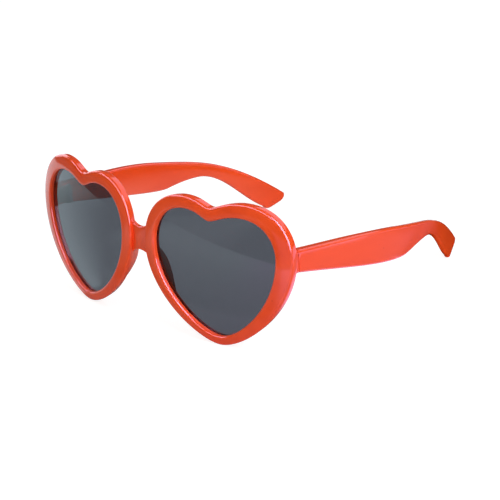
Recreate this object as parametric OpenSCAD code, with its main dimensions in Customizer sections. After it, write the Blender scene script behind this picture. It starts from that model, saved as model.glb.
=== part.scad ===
// Heart shaped sunglasses, standing on the two heart tips and the two temple tips.
// The wearer's face is towards +Y, the front looks towards -Y, and +X is the wearer's left.
// The origin is on the ground, under the middle of the width and of the depth.

/* [Front surface] */
// Radius of the front's wrap, seen from above
wrap_r = 215; // [150:5:400]
// Radius of the front's curve, seen from the side
dome_r = 200; // [150:5:400]
// Height at which the front bulges furthest
dome_z = 29; // [24:1:40]
// How much further back the face's outer top corner lies than these curves put it
corner_back = 0.9; // [0:0.1:1.5]

/* [Heart opening] */
// Reach of the opening from its tip towards the nose
open_in = 29.8; // [27:0.1:33]
// Reach of the opening from its tip towards the temple
open_out = 27.2; // [25:0.1:30]
// Height of the opening's widest point on the nose side
side_in_h = 35.8; // [34:0.1:38]
// Height of the opening's widest point on the temple side
side_out_h = 36.4; // [34:0.1:38]
// Distance of the nose side lobe's top from the tip
lobe_in_x = 13.9; // [12:0.1:16]
// Height of the nose side lobe
lobe_in_h = 52.5; // [50:0.1:54]
// Distance of the temple side lobe's top from the tip
lobe_out_x = 11.5; // [10:0.1:14]
// Height of the temple side lobe
lobe_out_h = 52.2; // [50:0.1:54]
// Distance of the notch from the tip, towards the nose
notch_x = 2.2; // [0:0.1:4]
// Height of the notch between the lobes
notch_h = 49.2; // [47:0.1:50.5]

/* [Rim] */
// Width of the rim at the heart's tip
rim_tip = 4; // [4:0.1:5]
// Width of the rim on the nose side
rim_in = 5.5; // [5:0.1:6.5]
// Width of the rim over the nose side lobe
rim_lobe_in = 5.2; // [4.5:0.1:6.5]
// Width of the rim under the notch
rim_notch = 5.5; // [4.5:0.1:6.5]
// Width of the rim over the temple side lobe
rim_lobe_out = 5.8; // [5:0.1:7]
// Width of the rim on the temple side
rim_out = 6.9; // [6.5:0.1:8]
// How much further apart the outline's lobes are than the opening's
lobe_spread = 1; // [0:0.1:2]
// Radius of the lip round the lens
lip_r = 1.2; // [0.8:0.1:1.4]
// Radius of the outer edge of the face
edge_r = 1.4; // [0.8:0.1:1.8]
// Radius of the back edges
back_r = 0.6; // [0.3:0.1:0.8]
// How far the side wall leans in towards the back
wall_lean = 0.5; // [0.2:0.1:1.2]
// Thickness of the rim behind the lens groove
back_wall = 0.8; // [0.7:0.1:1.2]

/* [Lens] */
// Depth of the lens behind the face
lens_set = 1.55; // [1.5:0.05:1.7]
// Thickness of the lens
lens_t = 1.8; // [1.5:0.1:1.9]
// How far the lens goes into its groove
lens_bite = 0.8; // [0.6:0.1:1]
// Gap between the lens and the groove's bottom
groove_gap = 0.2; // [0.1:0.05:0.3]
// Gap between the lens's faces and the groove's walls
lens_gap = 0.05; // [0.03:0.01:0.1]

/* [Bridge and nose pads] */
// Half the width of the gap between the rims, where it is narrowest
nose_half = 4.1; // [3.5:0.1:6]
// Height of the bridge's top edge in the middle
bridge_top = 43.8; // [42:0.1:46]
// Height of the bridge's bottom edge in the middle
bridge_bottom = 33.7; // [32:0.1:36]
// How much the bridge's hollow edges spread, above and below, from its middle to its ends
bridge_flare = 4.9; // [3:0.1:6]
// How far the bridge's face lies behind the rims' face
bridge_set = 1.6; // [1.2:0.1:1.8]
// How far the bridge's ends go into the rims
bridge_bite = 2.5; // [2:0.1:3]
// Radius of the bridge's long edges
bridge_edge_r = 1; // [0.6:0.1:1.2]
// Height of the top of a nose pad
pad_top = 37.7; // [36:0.1:39]
// Height of the bottom of a nose pad
pad_bottom = 13; // [10:0.5:16]
// How far a nose pad stands out behind the rim
pad_depth = 4.4; // [2:0.1:5]
// Radius of a nose pad's edge where it is thickest
pad_r = 2.1; // [1.7:0.1:2.3]
// Radius of a nose pad's edge at its ends, and of its root inside the rim
pad_end_r = 1.5; // [1.3:0.1:1.7]
// How far a nose pad leans away from the nose
pad_lean = 1.1; // [0:0.1:1.3]

/* [End pieces] */
// Length of an end piece, from its root inside the rim to the seam with its temple
end_l = 7.2; // [6:0.1:9]
// Depth of that root behind the rim's face
end_root = 1.9; // [1.5:0.1:2.6]
// Gap in the seam
seam_gap = 0.2; // [0.1:0.05:0.3]
// How much taller an end piece is at the rim, above and below
end_flare = 0.7; // [0.3:0.1:1]
// How much thinner an end piece is at its root, on the inside, clear of the lens groove
end_thin = 1.7; // [1.6:0.1:2.2]

/* [Temple] */
// How far inside the front's outer side a temple's middle lies at the seam
temple_in = 4.5; // [4:0.1:5]
// Thickness of a temple at its hinge
temple_t = 4.4; // [4:0.1:5]
// Thickness of a temple at its deepest point
belly_t = 3.2; // [3:0.1:4.4]
// Thickness of a temple at its tip
tip_t = 2.6; // [2.5:0.1:4.4]
// Radius of a temple's long edges
temple_edge_r = 1.2; // [0.8:0.1:1.5]
// Angle at which the temples spread from the front
temple_splay = 4.8; // [2:0.1:5.5]
// Length of a temple's straight part
straight_l = 35; // [34:1:42]
// Radius of a temple's curve behind the straight part, seen from above
curl_r = 150.5; // [140:0.5:170]
// Length of that curve; the ear hook's end is straight again
curl_l = 74; // [65:1:85]
// Angle at which the tip leans in, foot first
tip_lean = 4.8; // [0:0.1:8]
// Height of a temple's bottom edge at the seam
root_bottom = 34.4; // [32:0.1:37]
// How tall a temple is at the seam
root_h = 9.6; // [9:0.1:11]
// Distance along the temple of its deepest point
belly_l = 66.1; // [62:0.1:69]
// How much further forward the belly lies on the top edge
belly_shift = 5.3; // [3:0.1:8]
// Height of the top edge over the deepest point
belly_top = 36; // [34.5:0.1:37]
// Height of the bottom edge at the deepest point
belly_bottom = 21.9; // [21:0.1:24]
// Distance along the temple of its waist, before the ear hook
waist_l = 83.4; // [80:0.1:86]
// How much further back the waist lies on the top edge
waist_shift = 1.6; // [0.5:0.1:5]
// Height of the top edge at the waist
waist_top = 30.4; // [29:0.1:31]
// Height of the bottom edge at the waist
waist_bottom = 23.4; // [23:0.1:25]
// Distance along the temple of its tip, on the bottom edge
tip_l = 118.1; // [116:0.1:122]
// Height of the tip's lowest station on the bottom edge
tip_bottom = 1.54; // [0.9:0.02:2]
// How much further back the tip lies on the top edge
tip_shift = 11.9; // [9:0.1:13]
// How much higher the tip lies on the top edge
tip_rise = 4.8; // [4:0.1:6]
// How far the rounded end goes past the tip's last straight station
tip_round = 2.9; // [2:0.1:3.5]

/* [Hinge] */
// Distance of the hinge pin from the temple's inner face
pin_in = 2.2; // [2.1:0.1:2.6]
// Radius of a hinge knuckle
knuckle_r = 1.8; // [1.6:0.1:1.9]
// Radius of the hinge screw's shank
screw_r = 0.7; // [0.5:0.05:0.8]
// Gap between the shank and the bore, as a difference of radii
bore_gap = 0.03; // [0.02:0.01:0.08]
// Height of one knuckle
knuckle_h = 2.3; // [2:0.1:2.4]
// Gap between two knuckles
knuckle_gap = 0.1; // [0.05:0.05:0.15]
// Thickness of a hinge leaf
leaf_t = 1; // [0.8:0.1:1.2]
// Length of the leaf sunk into an end piece
front_leaf_l = 3.6; // [3:0.1:4]
// Length of the leaf sunk into a temple
temple_leaf_l = 9; // [7:0.5:12]
// Thickness of the web between a knuckle and its leaf
web_t = 1.6; // [1.2:0.1:2]
// Radius of the screw's head
head_r = 1.35; // [1.2:0.05:1.5]
// Thickness of the screw's head
head_h = 0.7; // [0.5:0.1:0.9]
// Width of the screw's slot
slot_w = 0.4; // [0.3:0.05:0.5]
// Depth of the screw's slot
slot_h = 0.35; // [0.25:0.05:0.4]

/* [Hidden] */

// Colours, as the photograph shows them
RED = [0.87, 0.29, 0.18];
SMOKE = [0.33, 0.37, 0.41];
STEEL = [0.75, 0.75, 0.77];

// Shares that shape the heart's six curves, each counted from the curve's end
tip_curve_share = 0.3;
side_down_share = 0.56;
side_up_share = 0.52;
lobe_outer_share = 0.65;
lobe_notch_share = 0.56;
notch_curve_share = 0.22;
// Stations on each of the heart's six curves, from the tip towards the nose and round
HEART_STEPS = [18, 12, 8, 8, 12, 18];
// Steps in each rounded corner of a section
CORNER_STEPS = 3;
// Rings of a lens between its edge and its middle
LENS_RINGS = 4;
// Stations of the bridge, a nose pad and the three lengths of a temple
BRIDGE_STEPS = 12;
PAD_STEPS = 5;
TEMPLE_STEPS = [14, 10, 18];
END_STEPS = 4;
// How early a nose pad is deepest, as a power of the share of its length
pad_peak_share = 0.75;
// Slopes of the temple's top and bottom edges at the seam, belly, waist and tip, in degrees
TOP_SLOPES = [-7, -12.7, -15, -38.5];
BOTTOM_SLOPES = [-11.6, 9.2, -1.7, -30.1];
// How far the bottom edge follows its slope ahead of the belly, as a share of that length
belly_curve_share = 0.13;
// How blunt a temple's rounded end is
tip_end_share = 0.58;
// How much of a temple's thickness each rounded edge may take at most
round_share = 0.46;
// How much of a quarter ellipse the bridge's hollow edges follow
bridge_curve_share = 0.957;
// Share of a length that each end of a smooth curve reaches along its slope
curve_share = 1 / 3;
// Sides of a nose pad's round parts, and of all others
PAD_SIDES = 16;
$fn = 48;

// The opening's tip lies one rim width over the ground
open_tip_z = rim_tip;
tip_x = nose_half + rim_in + open_in;
front_t = lens_set + lens_t + lens_gap + back_wall;
bridge_half = nose_half + bridge_bite;
groove_depth = lens_bite + groove_gap;
groove_front = lens_set - lens_gap;
groove_back = lens_set + lens_t + lens_gap;
bore_r = screw_r + bore_gap;
hinge_h = 3 * knuckle_h + 2 * knuckle_gap;
// The front's outer side and its top
outer_x = tip_x + open_out + rim_out;
top_z = open_tip_z + lobe_out_h + rim_lobe_out;
// The temples' place at the seam, with the hinge half way up it
temple_x = outer_x - temple_in;
root_top = root_bottom + root_h;
root_x = temple_x - end_l * sin(temple_splay);
seam_y = face_y(root_x, root_bottom + root_h / 2) + end_root + end_l * cos(temple_splay);
pin_x = temple_x - temple_t / 2 - pin_in;
hinge_z = root_bottom + (root_h - hinge_h) / 2;

function lerp(a, b, share) = a + (b - a) * share;
function bezier(a, b, c, d, t) =
    pow(1 - t, 3) * a + 3 * t * pow(1 - t, 2) * b + 3 * t * t * (1 - t) * c + t * t * t * d;
// A smooth curve between two points that leaves and arrives along two slopes
function sloped(a, slope_a, b, slope_b, end_share, t) =
    let (l = norm(b - a))
    bezier(a, a + l * curve_share * [cos(slope_a), sin(slope_a)],
           b - l * end_share * [cos(slope_b), sin(slope_b)], b, t);

// Depth of the front's face at a place across and up
function face_y(x, z) =
    wrap_r - sqrt(wrap_r * wrap_r - x * x)
    + dome_r - sqrt(dome_r * dome_r - (z - dome_z) * (z - dome_z))
    + corner_back * (x / outer_x) * (x / outer_x) * (z - dome_z) / (top_z - dome_z);

// The heart's six corners: tip, nose side, its lobe, notch, temple side lobe, temple side
OPENING = [[tip_x, open_tip_z],
           [tip_x - open_in, open_tip_z + side_in_h],
           [tip_x - lobe_in_x, open_tip_z + lobe_in_h],
           [tip_x - notch_x, open_tip_z + notch_h],
           [tip_x + lobe_out_x, open_tip_z + lobe_out_h],
           [tip_x + open_out, open_tip_z + side_out_h]];
RIM_STEPS_OUT = [[0, -rim_tip], [-rim_in, 0], [-lobe_spread, rim_lobe_in],
                 [0, rim_notch], [lobe_spread, rim_lobe_out], [rim_out, 0]];
OUTLINE = OPENING + RIM_STEPS_OUT;

// The curves' ends lie level at the tip, the lobes and the notch, and upright at the sides
function level(from, to, share) = [from[0] + (to[0] - from[0]) * share, from[1]];
function upright(from, to, share) = [from[0], from[1] + (to[1] - from[1]) * share];
function heart_point(h, curve, t) =
    curve == 0 ? bezier(h[0], level(h[0], h[1], tip_curve_share),
                        upright(h[1], h[0], side_down_share), h[1], t)
    : curve == 1 ? bezier(h[1], upright(h[1], h[2], side_up_share),
                          level(h[2], h[1], lobe_outer_share), h[2], t)
    : curve == 2 ? bezier(h[2], level(h[2], h[3], lobe_notch_share),
                          level(h[3], h[2], notch_curve_share), h[3], t)
    : curve == 3 ? bezier(h[3], level(h[3], h[4], notch_curve_share),
                          level(h[4], h[3], lobe_notch_share), h[4], t)
    : curve == 4 ? bezier(h[4], level(h[4], h[5], lobe_outer_share),
                          upright(h[5], h[4], side_up_share), h[5], t)
    : bezier(h[5], upright(h[5], h[0], side_down_share),
             level(h[0], h[5], tip_curve_share), h[0], t);
function heart_loop(h) =
    [for (curve = [0:5]) for (k = [0:HEART_STEPS[curve] - 1])
        heart_point(h, curve, k / HEART_STEPS[curve])];
INNER_LOOP = heart_loop(OPENING);
OUTER_LOOP = heart_loop(OUTLINE);

// A quarter round corner from one angle to the next
function corner(u, v, r, from) =
    [for (k = [0:CORNER_STEPS]) let (a = from + 90 * k / CORNER_STEPS)
        [u + r * cos(a), v + r * sin(a)]];
// The rim's section across a width w: distance from the opening, depth behind the face
function rim_section(w) = concat(
    corner(lip_r, lip_r, lip_r, 180),
    corner(w - edge_r, edge_r, edge_r, 270),
    corner(w - wall_lean - back_r, front_t - back_r, back_r, 0),
    [[back_r, front_t], [0, front_t - back_r],
     [0, groove_back], [groove_depth, groove_back],
     [groove_depth, groove_front], [0, groove_front]]);
function rim_ring(inner, outer) =
    let (w = norm(outer - inner), along = (outer - inner) / w)
    [for (s = rim_section(w)) let (p = inner + along * s[0])
        [p[0], face_y(p[0], p[1]) + s[1], p[1]]];

// Triangles between two neighbouring rings of m points that start at a and b
function band(a, b, m) =
    [for (j = [0:m - 1]) let (k = (j + 1) % m)
        each [[a + j, b + j, b + k], [a + j, b + k, a + k]]];

// A closed ring of sections, such as a rim
module ring_of(sections) {
    n = len(sections);
    m = len(sections[0]);
    polyhedron(points = [for (s = sections) each s],
               faces = [for (i = [0:n - 1]) each band(i * m, ((i + 1) % n) * m, m)]);
}

// A row of sections with a flat cap at each end
module row_of(sections) {
    n = len(sections);
    m = len(sections[0]);
    polyhedron(points = [for (s = sections) each s],
               faces = concat([[for (j = [0:m - 1]) j]],
                              [for (i = [0:n - 2]) each band(i * m, (i + 1) * m, m)],
                              [[for (j = [m - 1:-1:0]) (n - 1) * m + j]]));
}

module rim() { ring_of(RIM_RINGS); }

// A rounded rectangle's corners as shares of height and distances from the middle
function round_box(h, t, r) = concat(
    corner(h / 2 - r, t / 2 - r, r, 0), corner(-h / 2 + r, t / 2 - r, r, 90),
    corner(-h / 2 + r, -t / 2 + r, r, 180), corner(h / 2 - r, -t / 2 + r, r, 270));

// Spread of the bridge's hollow edges at a distance from the middle
function hollow_share(share) = 1 - sqrt(1 - pow(share * bridge_curve_share, 2));
function hollow(x) = bridge_flare * hollow_share(x / bridge_half) / hollow_share(1);
function bridge_ring(x) =
    let (top = bridge_top + hollow(x), bottom = bridge_bottom - hollow(x),
         t = front_t - back_r - bridge_set, depth = bridge_set + t / 2)
    [for (s = round_box(top - bottom, t, bridge_edge_r))
        let (z = (top + bottom) / 2 + s[0]) [x, face_y(x, z) + depth + s[1], z]];

module bridge() {
    row_of([for (k = [0:BRIDGE_STEPS]) bridge_ring(lerp(bridge_half, -bridge_half, k / BRIDGE_STEPS))]);
}

// The middle of the rim's solid part on the nose side, outside the lens groove, at a height
function side_x(z) =
    let (row = [for (i = [0:HEART_STEPS[0] + HEART_STEPS[1] - 1])
            if (OUTER_LOOP[i][1] <= z && OUTER_LOOP[i + 1][1] > z) i],
         i = row[0],
         share = (z - OUTER_LOOP[i][1]) / (OUTER_LOOP[i + 1][1] - OUTER_LOOP[i][1]))
    lerp(OUTER_LOOP[i][0], OUTER_LOOP[i + 1][0], share) + (rim_in - groove_depth) / 2;

module pad_station(share) {
    swell = sin(180 * pow(share, pad_peak_share));
    z = lerp(pad_top, pad_bottom, share);
    x = side_x(z);
    y = face_y(x, z) + front_t - back_r - pad_end_r;
    translate([x, y, z]) sphere(pad_end_r, $fn = PAD_SIDES);
    translate([x + pad_lean * swell, y + pad_depth * swell, z])
        sphere(lerp(pad_end_r, pad_r, swell), $fn = PAD_SIDES);
}

module nose_pad() {
    for (k = [0:PAD_STEPS - 1]) hull() {
        pad_station(k / PAD_STEPS);
        pad_station((k + 1) / PAD_STEPS);
    }
}

// The temple's path seen from above: place and heading at a distance from the seam
function curl(q) = max(0, min(q - straight_l, curl_l)) / curl_r * 180 / PI;
function path(q) =
    let (run = min(q, straight_l), past = max(0, q - straight_l - curl_l),
         heading = temple_splay - curl(q))
    [temple_x + run * sin(temple_splay) + past * sin(heading)
         + curl_r * (cos(heading) - cos(temple_splay)),
     seam_y + run * cos(temple_splay) + past * cos(heading)
         + curl_r * (sin(temple_splay) - sin(heading))];
// A point beside the path: its height and its distance from the temple's middle face
function beside(q, z, out) =
    let (p = path(q), heading = temple_splay - curl(q))
    [p[0] + out * cos(heading), p[1] - out * sin(heading), z];
// How far behind the deepest point a place is, as a share of the way to the tip
function back_share(q) = max(0, min(1, (q - belly_l) / (tip_l - belly_l)));
// The section that stands between a point of the bottom edge and one of the top edge
function temple_ring(bottom, top, t, out = 0) =
    let (h = norm(top - bottom), r = min(temple_edge_r, round_share * h, round_share * t),
         up = (top - bottom) / h, middle = (top + bottom) / 2,
         lean = tan(tip_lean) * back_share(middle[0]) * up[1])
    [for (s = round_box(h, t, r)) let (p = middle + up * s[0])
        beside(p[0], p[1], out + s[1] + lean * s[0])];

TOP_EDGE = [[0, root_top], [belly_l - belly_shift, belly_top],
            [waist_l + waist_shift, waist_top], [tip_l + tip_shift, tip_bottom + tip_rise]];
BOTTOM_EDGE = [[0, root_bottom], [belly_l, belly_bottom], [waist_l, waist_bottom],
               [tip_l, tip_bottom]];
// A temple keeps its thickness over the hinge leaf and thins out behind it
function eased(share) = share * share * (3 - 2 * share);
function thickness(q) =
    let (full_l = temple_leaf_l + leaf_t)
    q < full_l ? temple_t
    : q < belly_l ? lerp(temple_t, belly_t, eased((q - full_l) / (belly_l - full_l)))
    : lerp(belly_t, tip_t, back_share(q));
function bottom_point(part, t) =
    sloped(BOTTOM_EDGE[part], BOTTOM_SLOPES[part], BOTTOM_EDGE[part + 1], BOTTOM_SLOPES[part + 1],
           part == 0 ? belly_curve_share : curve_share, t);
function top_point(part, t) =
    sloped(TOP_EDGE[part], TOP_SLOPES[part], TOP_EDGE[part + 1], TOP_SLOPES[part + 1],
           curve_share, t);
function temple_station(part, t) =
    let (b = bottom_point(part, t), top = top_point(part, t))
    temple_ring(b, top, thickness((b[0] + top[0]) / 2));
// The rounded end shrinks in a quarter ellipse past the last straight station
function end_station(k) =
    let (a = 90 * k / (END_STEPS + 1), b = BOTTOM_EDGE[3], t = TOP_EDGE[3],
         across = (t - b) / norm(t - b), ahead = [across[1], -across[0]],
         shrink = pow(cos(a), tip_end_share), middle = (t + b) / 2 + ahead * tip_round * sin(a))
    temple_ring(middle - across * norm(t - b) / 2 * shrink,
                middle + across * norm(t - b) / 2 * shrink, tip_t * shrink);

module temple_body() { row_of(TEMPLE_RINGS); }

// The end piece runs from inside the rim to the seam, flush with the temple there
module end_piece() {
    row_of([temple_ring([-end_l, root_bottom - end_flare], [-end_l, root_top + end_flare],
                        temple_t - end_thin, end_thin / 2),
            temple_ring([-seam_gap, root_bottom], [-seam_gap, root_top], temple_t)]);
}

// A leaf that is sunk flush into the inner face, from one distance to another; its seat is
// the same block, which stands out of that face
module leaf(from, to, out) {
    translate([temple_x, seam_y, 0]) rotate([0, 0, -temple_splay])
        translate([-temple_t / 2 - out, from, hinge_z]) cube([leaf_t + out, to - from, hinge_h]);
}

module front_leaf(out = 0) { leaf(-seam_gap - front_leaf_l, -seam_gap, out); }
module temple_leaf(out = 0) { leaf(0, temple_leaf_l, out); }

// One knuckle with its web to the leaf, on the side of the pin that the leaf is on
module knuckle(index, side) {
    z = hinge_z + index * (knuckle_h + knuckle_gap);
    translate([pin_x, seam_y, z]) {
        cylinder(h = knuckle_h, r = knuckle_r);
        translate([0, side > 0 ? knuckle_r - web_t : -knuckle_r, 0])
            cube([pin_in + leaf_t / 2, web_t, knuckle_h]);
    }
}

module pin_bore() {
    translate([pin_x, seam_y, hinge_z - knuckle_h]) cylinder(h = hinge_h + 2 * knuckle_h, r = bore_r);
}

// The origin is under the middle of the whole depth, from the rims' face to the temples' ends
RIM_RINGS = [for (i = [len(INNER_LOOP) - 1:-1:0]) rim_ring(INNER_LOOP[i], OUTER_LOOP[i])];
TEMPLE_RINGS = concat([for (part = [0:2]) for (k = [0:TEMPLE_STEPS[part] - 1])
                          temple_station(part, k / TEMPLE_STEPS[part])],
                      [for (k = [0:END_STEPS]) end_station(k)]);
front_y = min([for (ring = RIM_RINGS) for (p = ring) p[1]]);
end_y = max([for (ring = TEMPLE_RINGS) for (p = ring) p[1]]);
module placed(side) {
    translate([0, -(front_y + end_y) / 2, 0]) mirror([side < 0 ? 1 : 0, 0, 0]) children();
}

module front_frame() {
    color(RED) difference() {
        union() {
            placed(1) bridge();
            for (side = [-1, 1]) placed(side) {
                rim();
                nose_pad();
                end_piece();
            }
        }
        for (side = [-1, 1]) placed(side) front_leaf(leaf_t);
    }
}

// A lens follows the face's curve, with its edge in the groove all round
LENS_MIDDLE = [tip_x, (OPENING[0][1] + OPENING[3][1]) / 2];
function lens_ring(depth, share) =
    [for (i = [0:len(INNER_LOOP) - 1])
        let (a = INNER_LOOP[i], b = OUTER_LOOP[i],
             edge = a + (b - a) * lens_bite / norm(b - a), p = lerp(edge, LENS_MIDDLE, share))
        [p[0], face_y(p[0], p[1]) + depth, p[1]]];
module lens(side) {
    n = len(INNER_LOOP);
    back = lens_set + lens_t;
    rings = concat([for (k = [LENS_RINGS - 1:-1:0]) lens_ring(lens_set, k / LENS_RINGS)],
                   [for (k = [0:LENS_RINGS - 1]) lens_ring(back, k / LENS_RINGS)]);
    m = len(rings);
    hub = [for (depth = [lens_set, back])
        [LENS_MIDDLE[0], face_y(LENS_MIDDLE[0], LENS_MIDDLE[1]) + depth, LENS_MIDDLE[1]]];
    color(SMOKE) placed(side)
        polyhedron(points = concat([for (r = rings) each r], hub),
                   faces = concat([for (i = [0:m - 2]) each band(i * n, (i + 1) * n, n)],
                                  [for (j = [0:n - 1]) [m * n, j, (j + 1) % n]],
                                  [for (j = [0:n - 1])
                                      [m * n + 1, (m - 1) * n + (j + 1) % n, (m - 1) * n + j]]));
}

module front_hinge(side) {
    color(STEEL) placed(side) difference() {
        union() {
            front_leaf();
            knuckle(0, -1);
            knuckle(2, -1);
        }
        pin_bore();
    }
}

module temple_hinge(side) {
    color(STEEL) placed(side) difference() {
        union() {
            temple_leaf();
            knuckle(1, 1);
        }
        pin_bore();
    }
}

module hinge_screw(side) {
    top = hinge_z + hinge_h;
    color(STEEL) placed(side) translate([pin_x, seam_y, 0]) difference() {
        union() {
            translate([0, 0, hinge_z]) cylinder(h = hinge_h, r = screw_r);
            translate([0, 0, top]) cylinder(h = head_h, r = head_r);
        }
        translate([-2 * head_r, -slot_w / 2, top + head_h - slot_h])
            cube([4 * head_r, slot_w, head_h]);
    }
}

module temple(side) {
    color(RED) placed(side) difference() {
        temple_body();
        temple_leaf(leaf_t);
    }
}

front_frame();
lens(1);  // lens_left
lens(-1);  // lens_right
front_hinge(1);  // front_hinge_left
front_hinge(-1);  // front_hinge_right
hinge_screw(1);  // hinge_screw_left
hinge_screw(-1);  // hinge_screw_right
temple_hinge(1);  // temple_hinge_left
temple_hinge(-1);  // temple_hinge_right
temple(1);  // temple_left
temple(-1);  // temple_right
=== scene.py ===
"""Heart shaped sunglasses: moulded pieces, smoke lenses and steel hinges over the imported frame.

Lengths in the classes are millimetres, as in the part's source, and become metres where a mesh is
placed. In the studio they are metres, unless a name ends in mm.
"""

import logging
import math
from dataclasses import dataclass, field
from enum import Enum
from typing import Sequence

import bmesh
import bpy
from bpy.types import Material, Node, NodeSocket, NodeTree, Object
from mathutils import Matrix, Vector


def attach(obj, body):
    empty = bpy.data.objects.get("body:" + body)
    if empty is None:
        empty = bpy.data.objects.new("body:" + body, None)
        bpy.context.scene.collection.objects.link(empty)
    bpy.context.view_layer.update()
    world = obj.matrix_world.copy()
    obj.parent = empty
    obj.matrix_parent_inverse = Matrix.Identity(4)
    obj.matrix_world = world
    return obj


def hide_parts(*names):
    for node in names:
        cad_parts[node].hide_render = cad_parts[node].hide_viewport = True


LOG = logging.getLogger("sunglasses")
MM = 0.001
# Metres below which two points of a mesh are one
MERGE = 1e-7

Point = tuple[float, float]
Ring = list[Vector]
Inputs = dict[str | int, object]
# A number, a socket or its name, or a tuple of an operation and what it works on
Formula = float | str | NodeSocket | tuple


class Side(Enum):
    """The wearer's side a piece belongs to, as the sign of its x."""

    LEFT = 1
    RIGHT = -1

    @property
    def word(self) -> str:
        """The side's name as the frame's nodes and bodies spell it."""
        return self.name.lower()


class Change(Enum):
    """What one solid does to another, as the boolean modifier names it."""

    JOIN = "UNION"
    CUT = "DIFFERENCE"


# Points and sections


def lerp(a: float, b: float, share: float) -> float:
    """A value between a and b."""
    return a + (b - a) * share


def bezier(a: Vector, b: Vector, c: Vector, d: Vector, t: float) -> Vector:
    """A point of a cubic curve.

    Args:
        a: where the curve starts.
        b: the first handle.
        c: the second handle.
        d: where the curve ends.
        t: share of the way, from 0 to 1.

    Returns:
        The point.
    """
    s = 1 - t
    return s * s * s * a + 3 * t * s * s * b + 3 * t * t * s * c + t * t * t * d


def arc(u: float, v: float, r: float, start: float, stop: float, steps: int) -> list[Point]:
    """The points of an arc round (u, v), from one angle in degrees to another."""
    angles = [math.radians(lerp(start, stop, k / steps)) for k in range(steps + 1)]
    return [(u + r * math.cos(a), v + r * math.sin(a)) for a in angles]


def edge_round(radius: float, share: float, h: float, t: float) -> float:
    """The radius of a section's edges where the section is too thin for the full one."""
    return min(radius, share * h, share * t)


def round_box(h: float, t: float, r: float, steps: int) -> list[Point]:
    """A rounded rectangle round its middle.

    Args:
        h: size along the first coordinate.
        t: size along the second coordinate.
        r: corner radius.
        steps: steps in each corner.

    Returns:
        Its points, in order.
    """
    points = []
    for k, (u, v) in enumerate(((1, 1), (-1, 1), (-1, -1), (1, -1))):
        points += arc(u * (h / 2 - r), v * (t / 2 - r), r, 90 * k, 90 * k + 90, steps)
    return points


def rounding(r: float, *angles: float) -> list[Point]:
    """How far a rounded edge is ahead of its side and short of its face, at angles in degrees."""
    return [(r * (1 - math.cos(math.radians(a))), r * (1 - math.sin(math.radians(a)))) for a in angles]


# Objects and meshes


def deselect() -> None:
    """Selects nothing."""
    bpy.ops.object.select_all(action="DESELECT")


def pick(obj: Object) -> None:
    """Selects one object alone and makes it the active one.

    Args:
        obj: the object.
    """
    deselect()
    obj.select_set(True)
    bpy.context.view_layer.objects.active = obj


def added(name: str) -> Object:
    """Names the object that the last operator made, and its data.

    Args:
        name: the name.

    Returns:
        The object.
    """
    obj = bpy.context.view_layer.objects.active
    obj.name = obj.data.name = name
    return obj


def edit(obj: Object) -> None:
    """Opens one object in edit mode, with nothing else selected."""
    pick(obj)
    bpy.ops.object.mode_set(mode="EDIT")


def leave() -> None:
    """Goes back to object mode."""
    bpy.ops.object.mode_set(mode="OBJECT")


def face_outwards(obj: Object) -> None:
    """Merges a mesh's doubles and turns its faces outwards.

    Args:
        obj: the mesh object.
    """
    edit(obj)
    bpy.ops.mesh.select_all(action="SELECT")
    bpy.ops.mesh.remove_doubles(threshold=MERGE)
    bpy.ops.mesh.normals_make_consistent(inside=False)
    leave()


def apply_all(obj: Object) -> None:
    """Applies every modifier of an object in order.

    Args:
        obj: the object.
    """
    pick(obj)
    for modifier in list(obj.modifiers):
        bpy.ops.object.modifier_apply(modifier=modifier.name)


def combine(obj: Object, other: Object, change: Change) -> None:
    """Joins another solid to an object, or cuts it away, and removes the other.

    Args:
        obj: the solid that stays.
        other: the solid that is used up.
        change: whether it is joined or cut away.
    """
    modifier = obj.modifiers.new("combine", "BOOLEAN")
    modifier.operation = change.value
    modifier.solver = "EXACT"
    modifier.object = other
    apply_all(obj)
    bpy.data.objects.remove(other, do_unlink=True)


def mirrored(obj: Object) -> Object:
    """A copy of an object on the other side of the glasses.

    Args:
        obj: the object on the wearer's left.

    Returns:
        The copy, with its own mesh and its faces outwards.
    """
    pick(obj)
    bpy.ops.object.duplicate(linked=False)
    copy = added(f"{obj.name} other")
    copy.scale = (-1, 1, 1)
    bpy.ops.object.transform_apply(location=False, rotation=False, scale=True)
    face_outwards(copy)
    return copy


def on_side(obj: Object, side: Side) -> Object:
    """Puts an object on its own side of the glasses.

    Args:
        obj: the object, made on the wearer's left.
        side: the side it belongs to.

    Returns:
        The object itself, or its mirror image, which takes its place.
    """
    if side is Side.LEFT:
        return obj
    other = mirrored(obj)
    bpy.data.objects.remove(obj, do_unlink=True)
    return other


def dress(obj: Object, name: str, finish: Material, angle: float) -> None:
    """Names a finished piece, shades it and gives it its material.

    Args:
        obj: the piece.
        name: its name and its mesh's.
        finish: its material.
        angle: the angle in degrees above which an edge stays sharp.
    """
    obj.name = obj.data.name = name
    pick(obj)
    bpy.ops.object.shade_smooth_by_angle(angle=math.radians(angle))
    obj.data.materials.clear()
    obj.data.materials.append(finish)


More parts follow.
